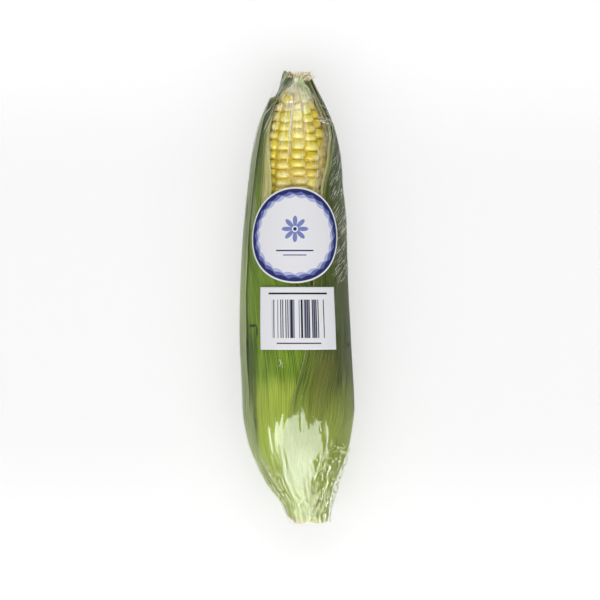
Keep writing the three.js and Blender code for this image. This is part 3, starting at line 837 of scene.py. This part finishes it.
# Relief of the film, outwards in mm: strips that slope differently along the ear, flatter under a label;
# creases fanning from the tip; low at the right a crumpled patch, with gathers beside it and slanting
# ripples further up; and a dip along the right leaf's low margin.
def filmRelief(angle, y):
    underLabels = np.maximum(hump(y, roundLabel["y"], 24), hump(y, oblongLabel["y"], 20))
    taut = 1 - 0.9 * smooth(underLabels * around(angle, 90, 62) * 1.6)
    strips = facets(angle / 3.1, y / 15, 61) * 0.19 + facets(angle / 13, y / 17, 62) * 0.22
    strips = strips + facets(angle / 3.1, y / 6, 69) * 0.16 * hump(y, -62, 14)
    strips = strips * taut * (0.3 + 0.7 * smooth((-40 - y) / 12))
    fan = smooth((y - 62) / 20) * facets(angle / 4.6, y / 34, 64) * 0.2
    ridged = (1 - np.abs(relief(angle / 9 + y / 8, y / 6 - angle / 20, 63))) ** 3
    sharp = (1 - np.abs(relief(angle / 11 - y / 6, y / 7 + angle / 14, 67))) ** 3
    crumpled = around(angle, 24, 46) * smooth((-70 - y) / 10)
    folds = crumpled * (ridged * 0.75 + sharp * 0.65 - 0.35)
    gathered = smooth((-82 - y) / 8) * (0.045 + 0.12 * around(angle, 56, 24))
    gathers = gathered * facets(angle / 4.2, y / 24, 68)
    side = around(angle, 20, 28) * (0.25 + hump(y, 58, 30))
    ripples = side * (relief(angle / 4 - y / 3.4, y / 12 + angle / 40, 65) * 0.1)
    ledge = turned(angle - leaves[0]["to"](y))
    dip = 0.16 * smooth((-62 - y) / 10) * smooth(ledge / 4) * (1 - smooth((ledge - 4) / 12))
    lowest = mix(*film["lowest"], clinging(angle, y))
    return np.clip(strips + fan + folds + gathers + ripples - dip, lowest, film["highest"])


def onWrap(angle, y, lift=0.0):  # a point of the film's outer face, lifted off it
    depth = filmSag(angle, y) + film["slack"] - film["cling"] * clinging(angle, y)
    return skin(angle, y, depth - filmRelief(angle, y) - lift)


# How far the film is painted white: at its sides, more up the left one and low on both, a painted reflection
# of the pale floor at grazing angles; and most over the silk, a white haze.
def filmSheenAndHaze(angle, y):
    aside = smooth((np.abs(turned(angle - 90)) - 62) / 34)
    sheenAndHaze = 0.03 * aside + (0.06 + 0.16 * hump(y, 70, 26)) * around(angle, 182, 22)
    sheenAndHaze = sheenAndHaze + 0.015 * around(angle, -14, 26) * smooth((-80 - y) / 12)
    sheenAndHaze = sheenAndHaze + 0.16 * around(angle, 156, 26) * smooth((-72 - y) / 14)
    return sheenAndHaze + 0.3 * around(angle, 62, 30) * hump(y, 98.5, 5)


# The film: the wrap's points, and its fold over the cut base up to its hole. rim is its mirror share at
# grazing angles, less on top and where it is crumpled.
def makeFilm():
    angle = spread([-50, 130, 310], [240, 100])
    y = spread(film["ys"], [110, 140])[:, None]
    a = np.radians(angle)
    radius = np.array(film["folded"])[:, None]
    disc = pointsAt(
        axisX(film["floorY"]) + radius * np.cos(a),
        film["floorY"] + 0.35 * relief(angle / 11, radius / 2, 66),
        ear["axisHeight"] + ear["roundness"] * radius * np.sin(a))
    grid = np.concatenate([disc, onWrap(angle, y)])
    rows, columns = grid.shape[:2]
    rim = mix(*film["rim"], clinging(angle, y)) - 0.13 * around(angle, 10, 50) * smooth((-66 - y) / 8)
    wrapped = {
        "sheenAndHaze": filmSheenAndHaze(angle, y),
        "rim": rim * (1 - 0.85 * around(angle, 90, 48)),
        "crumple": around(angle, 14, 44) * smooth((-76 - y) / 7),
    }
    values = {label: np.concatenate([np.broadcast_to(n[:1], disc.shape[:2]), n])
              for label, n in wrapped.items()}
    return meshOf("film_fine", grid.reshape(-1, 3), [gridFaces(rows, columns, True)], values)


# Clear film: see-through but for a mirror share, which grows towards its outline, a painted white share for
# its sheen and haze, and painted white glints where it is crumpled, which follow the lines where noise
# crosses its middle value.
def filmSkin():
    f = finishFor("clearFilm")
    x, y, z = f.place()
    crinkle = f.noise((x, y * 0.35, z), 0.55, 2.0, 0.5)
    normal = f.bump(crinkle * 0.25, 0.5)
    facing = f.node("LayerWeight", None, {"Blend": 0.5, "Normal": normal}, output="Facing")
    sheenAndHaze = f.number("sheenAndHaze") * f.noise((x, y * 0.2, z), 0.4, 3.0, 0.7).step(0.25, 0.75)
    streaky = f.noise((x * 1.3, y * 0.05, z * 1.3), 1.0, 2.0, 0.7).step(0.3, 0.7)
    crossing = abs(f.noise((x, y * 0.7, z), 0.34, 1.5, 0.6) - 0.5)
    broken = f.noise((x, y, z + 40), 0.4, 2.0).step(0.45, 0.6)
    paintedGlint = crossing.fall(0.008, 0.026) * broken * f.number("crumple")
    share = facing ** 5.0 * f.number("rim") + film["base"] + streaky * 0.008 + sheenAndHaze + paintedGlint * 0.5
    gloss = f.surface(
        baseColour=f.blend(paintedGlint, film["tint"], film["paintedGlint"]), normal=normal,
        metallic=1 - (sheenAndHaze * 6 + paintedGlint * 0.8).capped(), roughness=0.04 + sheenAndHaze * 0.8 + paintedGlint * 0.2)
    return f.done(f.veil(share.capped(), gloss))


placePiece(makeFilm(), filmSkin(), "clear_film", "film")
print("film made")


# Creases: thin folds standing on the film, painted white as painted highlights, or, for a share of them,
# painted dark as painted shade. Each runs straight from one place to another, given as angle and y, and
# wavers by `bend`.
def creaseLines(count, seed, starts, ends, bend, thick, dark):
    n = np.arange(count)[:, None]
    t = np.linspace(0, 1, creasePoints)
    draws = [scatter(n, seed + i) for i in range(6)]
    angle, y = [mix(low, high, draw) for (low, high), draw in zip(starts, draws[:2])]
    turn, rise = [mix(low, high, draw) for (low, high), draw in zip(ends, draws[2:4])]
    angle = angle + turn * t + bend * relief(t * 3, n * 1.7, seed)
    y = np.clip(y + rise * t, *film["creased"])
    wide = thick * (0.5 + draws[4]) * np.sin(np.pi * (0.08 + 0.84 * t))
    return onWrap(angle, y, 0.02), wide, (draws[5] < dark) + 0 * t


creases = [  # count, seed, (angles, ys), (turn, rise), waver, thickness, share of dark ones
    (230, 201, ((4, 46), (6, 86)), ((-14, -8), (3, 6)), 0.6, 0.25, 0.0),  # the right side's slanting lines
    (84, 211, ((-30, 60), (-111, -78)), ((-14, 14), (-5, 5)), 2.6, 0.75, 0.12),  # crumpled patch
    (18, 216, ((8, 50), (-80, -74)), ((-26, 26), (-4, 4)), 2.2, 0.8, 0.0),  # folds at its top
    (14, 218, ((52, 62), (-80, -76)), ((-4, 6), (-9, -4)), 1.2, 0.9, 0.0),  # and beside the glare
    (36, 215, ((46, 82), (-111, -83)), ((-4, 4), (-16, -7)), 0.8, 0.5, 0.0),  # gathers beside it
    (40, 221, ((118, 172), (-98, -74)), ((-6, 2), (-20, -9)), 0.9, 0.5, 0.1),  # low left
    (50, 231, ((60, 110), (-104, -86)), ((-5, 5), (-15, -6)), 1.0, 0.22, 0.2),  # over the stem end
    (70, 271, ((52, 130), (46, 98)), ((-7, 7), (-6, -1)), 1.2, 0.28, 0.0),  # over the kernels
    (9, 241, ((28, 58), (86, 97)), ((-26, -12), (-2, 2)), 0.8, 0.42, 0.0),  # across the tip, right
    (5, 251, ((100, 140), (86, 101)), ((6, 16), (-14, -5)), 0.8, 0.36, 0.0),  # and left
    (7, 261, ((105, 106.5), (-33.2, -31.6)), ((-3, 3), (-2.0, 2.0)), 0.3, 0.3, 0.0),  # a small star
]
foldLine = profile([(73, 158), (80, 162), (88.7, 159), (94.7, 137)])  # one long fold at the tip's left
foldEnds = (73, 96)
creasePoints = 9


def makeCreases():
    made = [creaseLines(*row) for row in creases]
    t = np.linspace(0, 1, creasePoints)[None]
    y = mix(*foldEnds, t)
    made.append((onWrap(foldLine(y), y, 0.05), 0.5 * np.sin(np.pi * (0.15 + 0.7 * t)), 0 * t))
    paths, wide, isPaintedShade = [np.concatenate([m[i] for m in made]) for i in range(3)]
    along = paths[..., 1]
    middle = pointsAt(axisX(along), along, ear["axisHeight"])
    return threadsOf("film_creases", paths, wide, {"dark": isPaintedShade}, away=paths - middle, flat=0.35)


def creaseSkin():
    f = finishFor("filmCrease")
    x, y, z = f.place()
    patchy = f.noise((x, y * 0.4, z), 0.7, 2.0).step(0.3, 0.7)
    # the white is a painted highlight, greener low on the ear; the dark green is painted shade
    highlightPaint = f.blend(y.step(-60, -20), "E6EFA6", "F6F6E8")
    fold = f.surface(baseColour=f.blend(f.number("dark"), highlightPaint, "8C9A48"), roughness=0.25 + patchy * 0.1)
    return f.done(f.veil(patchy * 0.65 + 0.25, fold))


placePiece(makeCreases(), creaseSkin(), "clear_film", "film")
print("creases made")


# A point of a paper label on the film: across and along in mm from the label's middle.
def onFilm(label, across, along, lift):
    y = label["y"] + along
    angle = 90 - np.degrees((label["x"] - axisX(label["y"]) + across) / halfWidth(label["y"]))
    return skin(angle, y, filmSag(angle, y) - lift)


# A label's sheet, from its upper face to its lower one.
def sheetOf(name, label, across, along, isRound=False):
    faces = [onFilm(label, across, along, label["lift"] + t) for t in (label["thick"], 0)]
    return shellOf(name, *faces, {"across": across, "along": along}, isRound)


def makeRoundLabel():
    rings, spokes = 40, 160
    reach = roundLabel["radius"] * np.sqrt(np.linspace(0, 1, rings))[:, None]
    a = np.arange(spokes) * 2 * np.pi / spokes
    return sheetOf("round_label_fine", roundLabel, reach * np.cos(a), reach * np.sin(a), isRound=True)


def makeOblongLabel():
    across = oblongLabel["width"] * (0.5 - np.linspace(0, 1, 90))
    along = oblongLabel["height"] * (np.linspace(0, 1, 50)[:, None] - 0.5)
    return sheetOf("oblong_label_fine", oblongLabel, across, along)


def labelPaper(f, printed, ink):
    x, y, z = f.place()
    grain = f.noise((x, y, z), 3.0, 3.0, 0.6)
    paper = f.blend(grain * 0.25, "ECECF0", "E0E1E6")
    return f.done(f.surface(baseColour=f.blend(printed, paper, ink), roughness=0.45 + grain * 0.1,
                            normal=f.bump(grain * 0.02, 0.4), shine=0.1))


# Round print: three scalloped rims, each further in and paler, round a rosette of petals over two rules.
rims = ((18.3, 1.6, "B9BEDD"), (19.5, 0.8, "6570AE"), (20.7, 0.0, "2A3060"))  # reach, turn, ink
rules = ((7.6, 0.3, 9.0), (9.8, 0.2, 5.5))  # mm below the middle, half their thickness and length


def roundPrint():
    f = finishFor("roundLabelPaper")
    across, along = f.numbers("across", "along")
    reach = (across * across + along * along) ** 0.5
    turn = along.math("ARCTAN2", across)
    ink, printed = paint(rims[0][2]), 0.0
    for inner, shift, colour in rims:
        scallop = abs((turn * 11.0 + shift).math("SINE"))
        rim = (reach + scallop * 0.9).step(inner + 0.8, inner + 0.95) * reach.fall(22.7, 22.85)
        ink = f.blend(rim, ink, colour)
        printed = rim + printed
    up = along - 3.0
    fromRose = (across * across + up * up) ** 0.5
    petal = abs((up.math("ARCTAN2", across) * 4.0).math("COSINE"))
    rose = (fromRose - petal * 4.6).fall(1.8, 2.0) * fromRose.step(1.4, 1.6)
    upper, lower = [abs(along + down).fall(thick, thick + 0.1) * abs(across).fall(long, long + 0.1)
                    for down, thick, long in rules]
    eye, ruled = fromRose.fall(0.8, 1.0), upper + lower
    ink = f.blend(eye + ruled, ink, "2A3060")
    ink = f.blend(rose, ink, "7C86BE")
    return labelPaper(f, (printed + rose + eye + ruled).capped(), ink)


# Oblong print: upright bars, half a millimetre or more wide, drawn at random in two inks so that they
# spell nothing, between two plain rules.
def oblongPrint():
    f = finishFor("oblongLabelPaper")
    across, along = f.numbers("across", "along")
    place = (across * 2.0).math("FLOOR")
    draw = f.node("TexWhiteNoise", {"noise_dimensions": "1D"}, {"W": place})
    bars = (draw > 0.42) * (abs(across - 0.4) < 13.6) * (along > -9.6) * (along < 9.2)
    ruled = (abs(across) < 15.0) * (abs(along - 12.2) < 0.45)
    ruled = ruled + (abs(across) < 11.0) * (abs(along + 12.2) < 0.3)
    ink = f.blend((draw < 0.62) * bars, "20202C", "8E90A4")
    return labelPaper(f, (bars + ruled).capped(), ink)


placePiece(makeRoundLabel(), roundPrint(), "label_paper", "round_label")
placePiece(makeOblongLabel(), oblongPrint(), "label_paper", "oblong_label")
print("labels made")


# Silk: short cut threads standing out of the tip, long ones left over the kernels, and fuzz caught along
# the right leaf's edge.
silk = {
    "stubs": 170,
    "tuftShift": 2.0,
    "tuftRaise": 1.2,
    "tuftY": 109.4,
    "tuftReach": 5.4,
    "tuftWide": 1.2,  # how much wider the tuft is across the ear
    "topY": 113.2,
    "long": 14,
    "fan": 90,
    "strands": [  # first and last angle, first and last y, thickness
        (97.5, 101.5, 98, 66, 0.8), (50, 55, 74, 59, 0.6), (84, 88, 101, 80, 0.4),
    ],
    "fuzz": 130,
    "fuzzY": (102, 46),
    "colours": ("FFFDEA", "CDB878"),
}
shreds = [  # torn green strips among the silk, given the same way
    (72, 68, 109.0, 102.0, 1.3), (46, 49, 109.0, 100.5, 1.4), (58, 57, 108.6, 103.5, 0.9),
    (28, 32, 107.5, 99.5, 0.9), (98, 102, 108.5, 105.0, 0.7),
]


def makeStubs():
    n = np.arange(silk["stubs"])[:, None]
    t = np.linspace(0, 1, 6)
    turn = np.radians(n * 137.5) + 0.5 * t * (scatter(n, 1) - 0.5)
    reach = silk["tuftReach"] * np.sqrt((n + 0.5) / silk["stubs"]) * (0.75 + 0.45 * t)
    clump = relief(reach * np.cos(turn) / 1.7, reach * np.sin(turn) / 1.7, 74)
    top = silk["topY"] - 4.4 * scatter(n, 2) ** 1.3 - 0.9 * (1 - clump)
    y = mix(silk["tuftY"] - 1.6, np.maximum(top, silk["tuftY"]), t)
    stray = 4.5 * (scatter(n, 8) - 0.94).clip(0) / 0.06
    lean = 2.6 * (scatter(n, 3) - 0.5) + 0.9 * clump + stray
    x = axisX(y) + silk["tuftShift"] + silk["tuftWide"] * reach * np.cos(turn) + lean * t ** 1.5
    z = ear["axisHeight"] + silk["tuftRaise"] + 0.8 * reach * np.sin(turn)
    z = z + t * (1.6 + 1.4 * (scatter(n, 4) - 0.5) + 3.0 * np.clip(-np.cos(turn), 0, 1))
    thick = (0.3 + 0.42 * scatter(n, 5)) * (1 - 0.5 * t)
    # stubs in the tuft's low clumps are painted darker, as painted shade in its hollows
    values = {"dry": 0.05 + 0.4 * t * scatter(n, 6) + 0.3 * (clump < -0.2), "shade": scatter(n, 7)}
    return threadsOf("silk_stubs", pointsAt(x, y, z), thick, values)


# A thread lies over the crowns, between two angles and two heights of the ear.
def overCrowns(n, t, angles, ys, seed, sway):
    y = mix(*ys, t)
    angle = mix(*angles, t) + sway * relief(y / 9, n * 3.3, seed)
    return overCob(angle, y, np.maximum(crownRadius(y), 3.4) + 0.42)


def makeLongSilk():
    n = np.arange(silk["long"])[:, None]
    t = np.linspace(0, 1, 26)
    start = 52 + 76 * scatter(n, 11)
    angles = start, start + 20 * (scatter(n, 12) - 0.5)
    long = overCrowns(n, t, angles, (silk["tuftY"] - 1.4, 104 - 46 * scatter(n, 13) ** 1.3), 71, 3)
    longThick = (0.16 + 0.34 * scatter(n, 15) ** 3) * (1 - 0.5 * t)
    m = np.arange(silk["fan"])[:, None]
    start = 10 + 150 * scatter(m, 31)
    angles = start, start + 12 * (scatter(m, 32) - 0.5)
    fan = overCrowns(m, t, angles, (silk["tuftY"] - 0.4, 104.5 - 8 * scatter(m, 33) ** 2), 75, 5)
    fanThick = (0.2 + 0.3 * scatter(m, 35)) * (1 - 0.6 * t)
    first, last, top, foot, wide = np.array(silk["strands"]).T[:, :, None]
    strands = overCrowns(wide, t, (first, last), (top, foot), 76, 1)
    strandThick = wide * (1 - 0.4 * t) * (0.8 + 0.4 * relief(t * 9, first, 77))
    number = np.concatenate([n, m + 40, first])
    values = {"dry": 0.22 * scatter(number, 16) + 0 * t, "shade": 0.7 * scatter(number, 17)}
    thick = np.concatenate([longThick, fanThick, strandThick])
    return threadsOf("silk_long", np.concatenate([long, fan, strands]), thick, values)


def makeFuzz():
    n = np.arange(silk["fuzz"])[:, None]
    t = np.linspace(0, 1, 12)
    top, foot = silk["fuzzY"]
    y = top - (top - foot) * scatter(n, 21) - t * (4 + 9 * scatter(n, 22))
    angle = leaves[0]["to"](y) + 13 * scatter(n, 23) - 2
    angle = angle + 5 * relief(t * 3, n * 2.3, 72) + 10 * t * (scatter(n, 28) - 0.5)
    reach = crownRadius(y) + 0.5 + 1.6 * scatter(n, 24) + 0.5 * relief(t * 4, n * 1.9, 73)
    thick = (0.09 + 0.11 * scatter(n, 25)) * np.sin(np.pi * (0.1 + 0.8 * t))
    values = {"dry": 0.25 + 0.45 * scatter(n, 26) + 0 * t, "shade": 0.6 * scatter(n, 27)}
    return threadsOf("silk_fuzz", overCob(angle, y, reach), thick, values)


def silkSkin():
    f = finishFor("drySilk")
    dry, shade = f.numbers("dry", "shade")
    base = f.blend((dry + shade * 0.3).step(0.0, 1.0), *silk["colours"])
    return f.done(f.surface(baseColour=base, roughness=0.45 + shade * 0.15, under=0.1, underScale=0.4 * mm))


def makeShreds():
    first, last, top, foot, thick = np.array(shreds).T[:, :, None]
    t = np.linspace(0, 1, 14)
    y = mix(top, foot, t)
    angle = mix(first, last, t) + 3 * relief(y / 4, first, 78)
    path = overCob(angle, y, np.maximum(crownRadius(y), 4.6) + 0.5)
    wide = thick * np.sin(np.pi * (0.2 + 0.7 * t)) * (1 + 0.25 * relief(y / 1.5, first, 79))
    return threadsOf("husk_shreds", path, wide, sides=6)


def shredSkin():
    f = finishFor("greenShred")
    x, y, z = f.place()
    fibre = f.noise((x, y * 0.08, z), 2.2, 2.0, 0.6)
    base = f.blend(fibre.step(0.35, 0.7), "9ABA6C", "E0E8C0")
    return f.done(f.surface(baseColour=base, roughness=0.45 + fibre * 0.15, normal=f.bump(fibre * 0.2, 0.6)))


silkLook = silkSkin()
placePiece(makeStubs(), silkLook, "dry_silk", "silk")
placePiece(makeLongSilk(), silkLook, "dry_silk", "silk")
placePiece(makeFuzz(), silkLook, "dry_silk", "silk")
placePiece(makeShreds(), shredSkin(), "green_husk")
print("silk made")


# Stem: its cut face shows the pith dotted with fibres.
stem = {
    "baseY": -112.5,
    "topY": -101.0,
    "outline": profile([(-112.5, 5.75), (-111.9, 6.05), (-107, 6.2), (-102.5, 7.4), (-101, 6.6)]),
    "face": 5.6,
    "roundness": 0.95,
    "grooves": 23,
    "pith": "D8DBA8",
    "fibres": "8F8A4A",
    "streaks": "B9BE7C",
}


def makeStem():
    a = np.arange(96) * 2 * np.pi / 96

    def ring(y, reach, dent=0.0):
        z = ear["axisHeight"] + stem["roundness"] * reach * np.sin(a)
        return pointsAt(axisX(y) + reach * np.cos(a), y + dent, z)

    def pole(y, dent):
        return [float(axisX(y)), y + dent, ear["axisHeight"]]

    y = mix(stem["baseY"], stem["topY"], np.linspace(0, 1, 24)[:, None])
    side = ring(y, stem["outline"](y) + 0.08 * np.cos(a * stem["grooves"] + 0.6 * np.sin(3 * a)))
    rings = np.array([0.2, 0.45, 0.7, 0.9])[:, None]
    rough = 0.12 + 0.1 * relief(4 * rings * np.cos(a), 4 * rings * np.sin(a), 81)
    face = ring(stem["baseY"], stem["face"] * rings, rough)
    ends = pole(stem["baseY"], 0.15), pole(stem["topY"], 0.2)
    return lumpOf("stem_fine", np.concatenate([face, side]), *ends)


def stemSkin():
    f = finishFor("cutStem")
    x, y, z = f.place()
    inputs = {"Vector": f.vector(x, 0.0, z), "Scale": 1.3}
    dots = f.node("TexVoronoi", {"feature": "F1"}, inputs, output="Distance")
    fibre = f.noise((x, y * 0.1, z), 1.2, 3.0, 0.6)
    base = f.blend(dots.step(0.12, 0.3), stem["fibres"], stem["pith"])
    base = f.blend(fibre.step(0.4, 0.75) * 0.4, base, stem["streaks"])
    rough = f.bump(fibre * 0.15 + dots * 0.2, 0.6)
    return f.done(f.surface(baseColour=base, roughness=0.55 + fibre * 0.2, normal=rough))


placePiece(makeStem(), stemSkin(), "cut_stem", "stem")
print("stem made")


# Stage: a pale floor, a surround with soft panels, and a camera looking straight down.
stage = {
    "floor": ("BBBBBB", "B8B8B9", "CBCBCB"),  # two for its grain, and one far from the ear
    "floorReach": 1500,
    "floorGlow": 0.46,
    "span": 0.300,  # metres across the picture at the ear's middle height
    "aim": (1.5 * mm, -1.75 * mm),
    "distance": 1.2,
    "sensor": 36,
}
lights = {  # strengths: what matt surfaces see, what mirrors see, and what the camera sees
    "even": 0.24,
    "above": 1.5,
    "pastTip": 1.9,
    "room": 0.08,
    "leftWall": 0.5,
    "main": 15.5,
    "lobe": 0.4,  # share of the main one
    "core": 5.5,
    "tip": 6.0,
    "backdrop": 0.9,
}


def makeFloor():
    corners = np.array([(-1, -1, 0), (1, -1, 0), (1, 1, 0), (-1, 1, 0)]) * stage["floorReach"]
    floor = meshOf("floor", corners, [np.array([[0, 1, 2, 3]])])
    f = finishFor("paleFloor")
    x, y, z = f.place()
    near, grained, far = stage["floor"]
    base = f.blend(f.noise((x, y, z), 0.05, 2.0) * 0.1, near, grained)
    # lighter far from the ear along its length: painted light
    base = f.blend(abs(y).step(60.0, 150.0), base, far)
    floor.data.materials.append(f.done(f.surface(
        baseColour=base, roughness=0.6, shine=0.2, glow=(1, 1, 1, 1), glowStrength=stage["floorGlow"])))


# The surround: where a direction meets a ceiling one unit up, soft-edged panels, over the stem end and
# past the tip. Mirrors see them bright on a dim room, matt surfaces in an even light.
def makeSurround():
    world = bpy.data.worlds.new("surround")
    bpy.context.scene.world = world
    f = Finish(world)
    x, y, z = f.split(f.node("TexCoord", output="Generated"))
    up = z.math("MAXIMUM", 0.02)
    across, along = x / up, y / up
    aside, out = abs(across), 0 - along

    def panel(halfX, start, end, soft):
        near = out if start > 0 else along
        reach = near.step(abs(start), abs(start) + soft) * near.fall(abs(end) - soft, abs(end))
        return reach * aside.fall(halfX - soft, halfX) * z.step(0.05, 0.2)

    def under(value, limit, soft=0.05):  # 1 where value is under its limit, which may itself be a wire
        return (value - limit).fall(0 - soft, soft)

    # over the stem end: an arched panel, its right side slanting out, its left parted from a second one
    arched = under(aside * 0.36 + 0.09, out, 0.03) * z.step(0.03, 0.1)
    slant = out * 0.66 + 0.8 - out.step(1.05, 1.3)
    main = arched * under(across, slant) * under(0 - across, (out * 0.8).math("MAXIMUM", 1.25))
    lobe = arched * under(out * 1.1 + 0.1, 0 - across) * under(0 - across, (out * 1.4).math("MAXIMUM", 3.4))
    core = panel(0.75, 0.42, 3.0, 0.2)
    tip = panel(0.9, -0.28, -1.6, 0.4)
    above = panel(1.6, 0.2, 3.0, 0.05)
    matt = lights["even"] + above * lights["above"] + tip * lights["pastTip"]
    mirror = lights["room"] + (0 - x).step(0.45, 0.9) * lights["leftWall"]
    mirror = mirror + (main + lobe * lights["lobe"]) * out.fall(3.4, 4.4) * lights["main"]
    mirror = mirror + core * lights["core"] + tip * lights["tip"]
    glossy, camera = [f.node("LightPath", output=kind) for kind in ("Is Glossy Ray", "Is Camera Ray")]
    strength = matt * (1 - glossy) + mirror * glossy
    strength = strength * (1 - camera) + camera * lights["backdrop"]
    light = f.node("Background", None, {"Color": (1, 1, 1, 1), "Strength": strength})
    f.done(light, "OutputWorld")


def makeCamera():
    data = bpy.data.cameras.new("camera")
    data.sensor_width = stage["sensor"]
    data.lens = stage["sensor"] * stage["distance"] / stage["span"]
    data.clip_end = 20
    camera = bpy.data.objects.new("camera", data)
    camera.location = (*stage["aim"], ear["axisHeight"] * mm + stage["distance"])
    bpy.context.scene.collection.objects.link(camera)
    bpy.context.scene.camera = camera


makeFloor()
makeSurround()
makeCamera()
bpy.context.scene.view_settings.view_transform = "Standard"
print("stage made")
